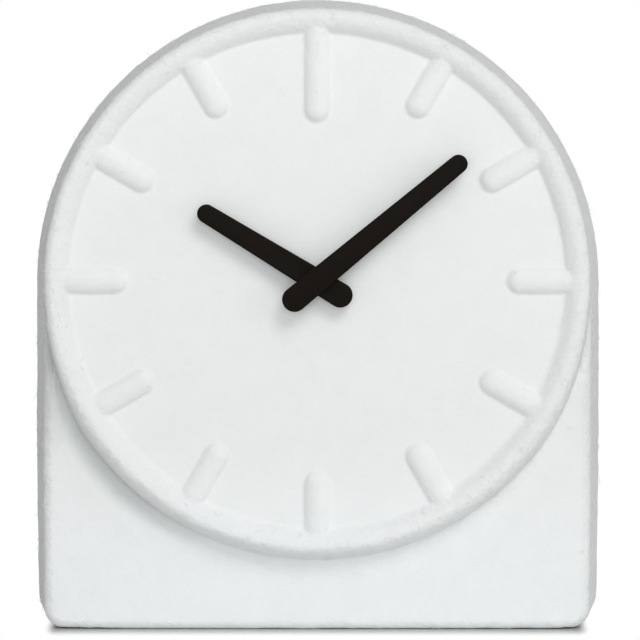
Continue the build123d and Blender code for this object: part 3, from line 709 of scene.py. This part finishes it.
# helpers for Geometry Nodes; sockets gives the kind of each named input
def newTree(name, sockets):
    tree = bpy.data.node_groups.new(name, "GeometryNodeTree")
    tree.interface.new_socket("Geometry", in_out="INPUT", socket_type="NodeSocketGeometry")
    for label, kind in sockets.items():
        tree.interface.new_socket(label, in_out="INPUT", socket_type="NodeSocket" + kind)
    tree.interface.new_socket("Geometry", in_out="OUTPUT", socket_type="NodeSocketGeometry")
    given, result = addNode(tree, "NodeGroupInput"), addNode(tree, "NodeGroupOutput")
    return tree, given.outputs, result


def randomFloat(tree, seed, low, high):
    values = {2: low, 3: high, "Seed": seed}  # sockets 2 and 3 take the limits of a float
    return addNode(tree, "FunctionNodeRandomValue", values, data_type="FLOAT").outputs[1]


def turnAbout(tree, axis, angle):
    angles = addNode(tree, "ShaderNodeCombineXYZ", {axis: angle})
    return addNode(tree, "FunctionNodeEulerToRotation", {0: angles.outputs[0]}).outputs[0]


def turnFurther(tree, rotation, axis, angle):
    values = {0: rotation, 1: turnAbout(tree, axis, angle)}
    return addNode(tree, "FunctionNodeRotateRotation", values, rotation_space="LOCAL").outputs[0]


# the end of a tree: the copies become plain faces with their material
def finishTree(tree, copies, material, result):
    realized = addNode(tree, "GeometryNodeRealizeInstances", {"Geometry": copies.outputs["Instances"]})
    colored = addNode(tree, "GeometryNodeSetMaterial", {
        "Geometry": realized.outputs["Geometry"], "Material": material,
    })
    link(tree, colored.outputs["Geometry"], result.inputs["Geometry"])
    return tree


# runs the tree on a mesh and gives back what it makes as a plain mesh
def runTree(tree, mesh, values, name):
    carrier = bpy.data.objects.new(name + "Carrier", mesh)
    bpy.context.scene.collection.objects.link(carrier)
    modifier = carrier.modifiers.new(name, "NODES")
    modifier.node_group = tree
    sockets = {item.name: item.identifier for item in tree.interface.items_tree if item.in_out == "INPUT"}
    for label, value in values.items():
        modifier[sockets[label]] = value
    bpy.context.view_layer.update()
    depsgraph = bpy.context.evaluated_depsgraph_get()
    made = bpy.data.meshes.new_from_object(carrier.evaluated_get(depsgraph))
    made.name = name
    carrier.modifiers.remove(modifier)
    bpy.data.objects.remove(carrier)
    return made


# loose fibres on the felt, scattered by Geometry Nodes; a fibre's own shape is in shares of its length
fuzzForm = {
    "density": 220000.0, "length": 2.0 * mm, "radius": 0.06 * mm, "tiltLow": 0.7, "tiltHigh": 1.45, "seed": 7,
    "edgePower": 3.0, "sizeLow": 0.5, "sizeHigh": 1.3, "bends": 3, "sides": 3,
    "start": (0, 0, -0.08), "middle": (0.05, 0, 0.55), "end": (0.45, 0.1, 0.85),
}


def fuzzTree():
    form = fuzzForm
    tree, given, result = newTree("looseFibres", {
        "Density": "Float", "Length": "Float", "Radius": "Float", "Tilt Low": "Float", "Tilt High": "Float",
        "Seed": "Int", "Material": "Material",
    })
    # hardly any on the pressed dial, many along the edges
    share = addNode(tree, "GeometryNodeInputNamedAttribute", {"Name": "fuzz"}, data_type="FLOAT")
    edges = addMath(tree, "POWER", share.outputs["Attribute"], form["edgePower"])
    scatter = addNode(tree, "GeometryNodeDistributePointsOnFaces", {
        "Mesh": given["Geometry"], "Density": addMath(tree, "MULTIPLY", edges, given["Density"]),
        "Seed": given["Seed"],
    })
    # one fibre: a bent line with a three-sided section
    strand = addNode(tree, "GeometryNodeCurveQuadraticBezier", {
        "Resolution": form["bends"], "Start": form["start"], "Middle": form["middle"], "End": form["end"],
    })
    section = addNode(tree, "GeometryNodeCurvePrimitiveCircle", {
        "Resolution": form["sides"], "Radius": addMath(tree, "DIVIDE", given["Radius"], given["Length"]),
    })
    fibre = addNode(tree, "GeometryNodeCurveToMesh", {
        "Curve": strand.outputs["Curve"], "Profile Curve": section.outputs["Curve"], "Fill Caps": True,
    })

    # each draw has a seed of its own
    def chance(offset, low, high):
        return randomFloat(tree, addMath(tree, "ADD", given["Seed"], offset), low, high)

    # spin about the surface normal, then lean over
    turned = turnFurther(tree, scatter.outputs["Rotation"], "Z", chance(1.0, 0.0, 2 * math.pi))
    turned = turnFurther(tree, turned, "Y", chance(2.0, given["Tilt Low"], given["Tilt High"]))
    size = addMath(tree, "MULTIPLY", chance(3.0, form["sizeLow"], form["sizeHigh"]), given["Length"])
    copies = addNode(tree, "GeometryNodeInstanceOnPoints", {
        "Points": scatter.outputs["Points"], "Instance": fibre.outputs["Mesh"], "Rotation": turned,
        "Scale": size,
    })
    return finishTree(tree, copies, given["Material"], result)


fuzzMesh = runTree(fuzzTree(), feltMesh.copy(), {
    "Density": fuzzForm["density"], "Length": fuzzForm["length"], "Radius": fuzzForm["radius"],
    "Tilt Low": fuzzForm["tiltLow"], "Tilt High": fuzzForm["tiltHigh"], "Seed": fuzzForm["seed"],
    "Material": looseFibre,
}, "feltFuzz")
for vertex in fuzzMesh.vertices:
    vertex.co.z = max(vertex.co.z, 0)
placePiece(fuzzMesh, "feltFuzz", looseFibre, "case")
print("loose fibres:", len(fuzzMesh.polygons), "faces")


# rigid pieces: the CAD shape with softened edges, each with the edge's width in mm, its name and its body
softEdges = {
    "hour_hand": (0.14, "hourHand", "hour"), "minute_hand": (0.14, "minuteHand", "minute"),
    "rear_cover": (0.45, "rearCover", "case"), "movement_base": (0.25, "movementBase", "case"),
    "movement_lid": (0.30, "movementLid", "case"), "setting_knob": (0.18, "settingKnob", "knob"),
}
softening = {
    "merge": 0.002 * mm, "flatAngle": 0.4, "cornerAngle": 35, "segments": 2, "profile": 0.6, "sharpAngle": 40,
}


def softenedCopy(nodeName, width, name):
    form = softening
    shape = bmesh.new()
    shape.from_mesh(frame["nodes"][nodeName].data)
    bmesh.ops.remove_doubles(shape, verts=shape.verts, dist=form["merge"])
    bmesh.ops.dissolve_limit(
        shape, angle_limit=math.radians(form["flatAngle"]), verts=shape.verts, edges=shape.edges
    )
    least = math.radians(form["cornerAngle"])
    corners = [edge for edge in shape.edges if len(edge.link_faces) == 2 and edge.calc_face_angle() > least]
    bmesh.ops.bevel(
        shape, geom=corners, offset=width, offset_type="OFFSET", segments=form["segments"],
        profile=form["profile"], affect="EDGES", clamp_overlap=True,
    )
    return smoothMesh(shapeMesh(name, shape), form["sharpAngle"])


for nodeName, (width, pieceName, body) in softEdges.items():
    softMesh = softenedCopy(nodeName, width * mm, pieceName)
    slotName = nodeSlots[nodeName]
    placePiece(softMesh, pieceName, looks[slotName], body, [nodeName])
    print(pieceName, len(softMesh.polygons), "faces")


# turned shapes: a profile of (distance along, radius) swung round an axis
def turnedMesh(name, profile, start, axis, count=48, sharpAngle=50):
    along = axis.normalized()
    first = along.orthogonal().normalized()
    second = along.cross(first)
    points, faces = [], []
    for distance, radius in profile:
        for step in range(count):
            angle = 2 * math.pi * step / count
            outward = first * math.cos(angle) + second * math.sin(angle)
            points.append(start + along * distance + outward * radius)
    lastRow = (len(profile) - 1) * count
    for row in range(0, lastRow, count):
        faces += bandFaces(row, row + count, count)
    faces.append(tuple(range(count - 1, -1, -1)))
    faces.append(tuple(range(lastRow, lastRow + count)))
    return pointMesh(name, points, faces, sharpAngle)


# cell: jacket rolled over both ends, bare metal caps, button at the positive end
cellForm = {
    "roll": 0.55 * mm, "capRadius": 6.1 * mm, "dish": 0.35 * mm,
    "buttonRadius": 2.75 * mm, "button": 1.0 * mm,
}


def buildCell():
    form = cellForm
    low, high = batteryLow, batteryHigh
    axis = Vector((1, 0, 0))
    radius = min((high.z - low.z) / 2 / math.cos(leanAngle), (high.y - low.y) / 2)
    start = Vector((low.x, (low.y + high.y) / 2, (low.z + high.z) / 2))
    length = high.x - low.x
    shoulder = length - form["button"]
    roll, cap, dish, button = form["roll"], form["capRadius"], form["dish"], form["buttonRadius"]
    rolled = [
        (dish, cap), (0.05 * mm, cap + 0.1 * mm), (0, cap + 0.4 * mm), (0.1 * mm, radius - roll * 0.3),
        (roll * 0.4, radius - roll * 0.08), (roll, radius),
    ]
    jacket = rolled + [(shoulder - distance, reach) for distance, reach in reversed(rolled)]
    ends = [
        (dish * 0.6, cap - 0.3 * mm), (dish, cap), (shoulder - dish, cap),
        (shoulder - dish * 0.7, cap - 0.4 * mm), (shoulder - dish * 0.7, button + 0.5 * mm),
        (shoulder - dish * 0.3, button), (length - 0.2 * mm, button), (length, button - 0.3 * mm),
    ]
    for name, profile, material, slot in (
        ("cellJacket", jacket, looks["cell_jacket"], "cell_jacket"),
        ("cellEnds", ends, cellEnds, "contact_metal"),
    ):
        placePiece(turnedMesh(name, profile, start, axis), name, material, "case", ["battery"])


buildCell()
print("cell built")


# cover screws: one countersunk head with a cross recess, set on its four places by Geometry Nodes
screwForm = {
    "around": 48, "headRadius": 3.0 * mm, "rim": 0.15 * mm, "shankRadius": 1.45 * mm, "headDepth": 1.55 * mm,
    "length": 6.0 * mm, "recess": 1.55 * mm, "arm": 0.42 * mm, "deep": 1.3 * mm, "pitScale": 0.62,
    "sharpAngle": 30, "headSlack": 0.01 * mm, "seed": 3,
}


def screwHead():
    form = screwForm
    shape = bmesh.new()
    count, arm, reach, rim = form["around"], form["arm"], form["recess"], form["rim"]
    cross, circle = [], []
    for quarter in range(4):
        turn = Matrix.Rotation(quarter * math.pi / 2, 3, "Z")
        for x, y in ((reach, -arm), (reach, arm), (arm, arm)):
            cross.append(turn @ Vector((x, y, 0)))
    for step in range(count):
        angle = 2 * math.pi * step / count
        circle.append(Vector((math.cos(angle), math.sin(angle), 0)))

    def addRow(spots, scale, depth):
        return [shape.verts.new(spot * scale + Vector((0, 0, -depth))) for spot in spots]

    outer = addRow(circle, form["headRadius"] - rim, 0)
    edge = addRow(circle, form["headRadius"], rim)
    cone = addRow(circle, form["shankRadius"], form["headDepth"])
    tail = addRow(circle, form["shankRadius"], form["length"])
    lip = addRow(cross, 1, 0)
    pit = addRow(cross, form["pitScale"], form["deep"])
    for first, second in ((outer, edge), (edge, cone), (cone, tail)):
        for step in range(count):
            following = (step + 1) % count
            shape.faces.new((first[step], second[step], second[following], first[following]))
    shape.faces.new(list(reversed(tail)))
    for step in range(len(lip)):
        following = (step + 1) % len(lip)
        shape.faces.new((lip[step], lip[following], pit[following], pit[step]))
    shape.faces.new(pit)
    rims = []
    for row in (outer, lip):
        rims += [line for line in shape.edges if all(vertex in row for vertex in line.verts)]
    bmesh.ops.triangle_fill(shape, use_beauty=True, use_dissolve=False, edges=rims)
    bmesh.ops.recalc_face_normals(shape, faces=shape.faces)
    return smoothMesh(shapeMesh("screwHead", shape), form["sharpAngle"])


def screwTree():
    tree, given, result = newTree("screwPattern", {
        "Screw": "Object", "Lean": "Float", "Seed": "Int", "Material": "Material",
    })
    spots = addNode(tree, "GeometryNodeMeshToPoints", {"Mesh": given["Geometry"]})
    model = addNode(tree, "GeometryNodeObjectInfo", {"Object": given["Screw"]})
    spin = randomFloat(tree, given["Seed"], 0.0, 2 * math.pi)
    turned = turnFurther(tree, turnAbout(tree, "X", given["Lean"]), "Z", spin)
    copies = addNode(tree, "GeometryNodeInstanceOnPoints", {
        "Points": spots.outputs["Points"], "Instance": model.outputs["Geometry"], "Rotation": turned,
    })
    return finishTree(tree, copies, given["Material"], result)


def buildScrews():
    # the four heads' places, read from the CAD screws
    corners = {}
    low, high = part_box("cover_screws")
    middle = (low + high) / 2
    for vertex in frame["nodes"]["cover_screws"].data.vertices:
        corners.setdefault((vertex.co.x > middle.x, vertex.co.z > middle.z), []).append(vertex.co)
    places = []
    for spots in corners.values():
        rear = min(spot.dot(dialOut) for spot in spots)
        heads = [spot for spot in spots if spot.dot(dialOut) < rear + screwForm["headSlack"]]
        places.append(sum(heads, Vector()) / len(heads))
    model = bpy.data.objects.new("screwModel", screwHead())
    bpy.context.scene.collection.objects.link(model)
    spotMesh = bpy.data.meshes.new("screwSpots")
    spotMesh.from_pydata([tuple(place) for place in places], [], [])
    mesh = runTree(screwTree(), spotMesh, {
        "Screw": model, "Lean": -math.pi / 2 - leanAngle, "Seed": screwForm["seed"],
        "Material": looks["screw_steel"],
    }, "coverScrews")
    bpy.data.objects.remove(model)
    placePiece(mesh, "coverScrews", looks["screw_steel"], "case", ["cover_screws"])
    return len(places)


print("cover screws:", buildScrews())


# studio: white floor that keeps the contact shadow, soft light from the front and above right
studio = {
    "worldLight": 0.37, "floorRadius": 1.2, "floorSegments": 96, "floorDrop": 0.1 * mm,
    "floorColor": (0.75, 0.75, 0.75), "floorSeen": (0.62, 0.62, 0.62),
    "floorGloss": 0.3, "floorRoughness": 0.12,
    "footMiddle": 5 * mm, "footHalf": (88 * mm, 31 * mm), "sideways": 4.5,
    "fadeStart": 2.5 * mm, "fadeEnd": 22 * mm,
    # a lamp's share is the light that it adds to a surface facing it; toward is right, up and out of the dial
    "lamps": {
        "key": {"toward": (0.28, 0.60, 0.74), "distance": 2.1, "size": 1.1, "share": 0.31},
        "right": {"toward": (0.82, 0.18, 0.54), "distance": 1.8, "size": 1.0, "share": 0.092},
        "left": {"toward": (-0.90, 0.10, 0.30), "distance": 1.8, "size": 1.0, "share": 0.02},
        "fill": {"toward": (0.0, -0.04, 1.0), "distance": 2.6, "size": 1.8, "share": 0.375},
    },
}


def floorMaterial():
    material = bpy.data.materials.new("paleFloor")
    material.use_nodes = True
    tree = material.node_tree
    tree.nodes.remove(tree.nodes["Principled BSDF"])
    # for the eye a satin white table, for the light that it throws back a plain pale one
    seen = addNode(tree, "ShaderNodeLightPath").outputs["Is Camera Ray"]
    color = mixColors(tree, seen, studio["floorColor"], studio["floorSeen"])
    diffuse = addNode(tree, "ShaderNodeBsdfDiffuse", {"Color": color})
    gloss = addNode(tree, "ShaderNodeBsdfGlossy", {"Roughness": studio["floorRoughness"]})
    satin = addNode(tree, "ShaderNodeMixShader", {
        0: addMath(tree, "MULTIPLY", seen, studio["floorGloss"]), 1: diffuse.outputs[0], 2: gloss.outputs[0],
    })
    # the table fades into the white surround away from the clock's foot
    halfWide, halfDeep = studio["footHalf"]
    sideways = studio["sideways"]
    vector = addNode(tree, "ShaderNodeMapping", {
        "Vector": objectPlace(tree), "Location": (0, -studio["footMiddle"], 0), "Scale": (sideways, 1, 0),
    }).outputs["Vector"]
    footEdge, nothing = (halfWide * sideways, halfDeep, 0), (0, 0, 0)
    for operation, other in (("ABSOLUTE", nothing), ("SUBTRACT", footEdge), ("MAXIMUM", nothing)):
        step = addNode(tree, "ShaderNodeVectorMath", {0: vector, 1: other}, operation=operation)
        vector = step.outputs["Vector"]
    away = addNode(tree, "ShaderNodeVectorMath", {0: vector}, operation="LENGTH")
    fade = addNode(tree, "ShaderNodeMapRange", {
        "Value": away.outputs["Value"], "From Min": studio["fadeStart"], "From Max": studio["fadeEnd"],
    }, interpolation_type="SMOOTHSTEP")
    clear = addNode(tree, "ShaderNodeBsdfTransparent")
    table = addNode(tree, "ShaderNodeMixShader", {
        0: addMath(tree, "MULTIPLY", fade.outputs[0], seen), 1: satin.outputs[0], 2: clear.outputs[0],
    })
    link(tree, table.outputs[0], tree.nodes["Material Output"].inputs["Surface"])
    return material


def buildFloor():
    shape = bmesh.new()
    radius, segments = studio["floorRadius"], studio["floorSegments"]
    bmesh.ops.create_circle(shape, cap_ends=True, radius=radius, segments=segments)
    mesh = shapeMesh("floor", shape)
    for vertex in mesh.vertices:
        vertex.co.z -= studio["floorDrop"]
    mesh.materials.append(floorMaterial())
    floor = bpy.data.objects.new("floor", mesh)
    bpy.context.scene.collection.objects.link(floor)


# white where it is seen or mirrored, softer as a light
def buildWorld():
    world = bpy.data.worlds.new("studio")
    bpy.context.scene.world = world
    world.use_nodes = True
    tree = world.node_tree
    path = addNode(tree, "ShaderNodeLightPath").outputs
    seen = path["Is Camera Ray"]
    for name in ("Is Glossy Ray", "Is Transmission Ray"):
        seen = addMath(tree, "MAXIMUM", seen, path[name])
    strength = addNode(tree, "ShaderNodeMapRange", {
        "Value": seen, "To Min": studio["worldLight"], "To Max": 1.0,
    })
    background = tree.nodes["Background"]
    background.inputs["Color"].default_value = (1, 1, 1, 1)
    link(tree, strength.outputs[0], background.inputs["Strength"])


def placeFacing(name, data, place, target):
    thing = bpy.data.objects.new(name, data)
    thing.location = place
    thing.rotation_euler = (target - place).to_track_quat("-Z", "Y").to_euler()
    bpy.context.scene.collection.objects.link(thing)
    return thing


def addLamp(name, setting):
    lamp = bpy.data.lights.new(name, "AREA")
    lamp.shape = "DISK"
    lamp.size = setting["size"]
    lamp.energy = setting["share"] * math.pi ** 2 * setting["distance"] ** 2
    right, up, out = Vector(setting["toward"]).normalized() * setting["distance"]
    placeFacing(name, lamp, dialPoint(right, up, out), dialCenter)


# the dial's centre falls on centerPixel of the square frame; aside moves the camera to the right of its axis
cameraSet = {
    "distance": 2.2, "aside": 0.010, "pixelsPerMetre": 2958.0, "frame": 640, "centerPixel": (317.0, 281.0),
    "sensor": 36.0,
}


def addCamera():
    setting = cameraSet
    camera = bpy.data.cameras.new("frontCamera")
    camera.sensor_width = setting["sensor"]
    camera.sensor_fit = "HORIZONTAL"
    size, scale = setting["frame"], setting["pixelsPerMetre"]
    camera.lens = setting["sensor"] * setting["distance"] / (size / scale)
    right, down = [(size / 2 - pixel) / scale for pixel in setting["centerPixel"]]
    place = dialPoint(setting["aside"], 0, setting["distance"])
    bpy.context.scene.camera = placeFacing("frontCamera", camera, place, dialPoint(right, -down, 0))


buildFloor()
buildWorld()
for lampName, lampSetting in studio["lamps"].items():
    addLamp(lampName, lampSetting)
addCamera()
bpy.context.scene.view_settings.view_transform = "Standard"
print("studio ready")
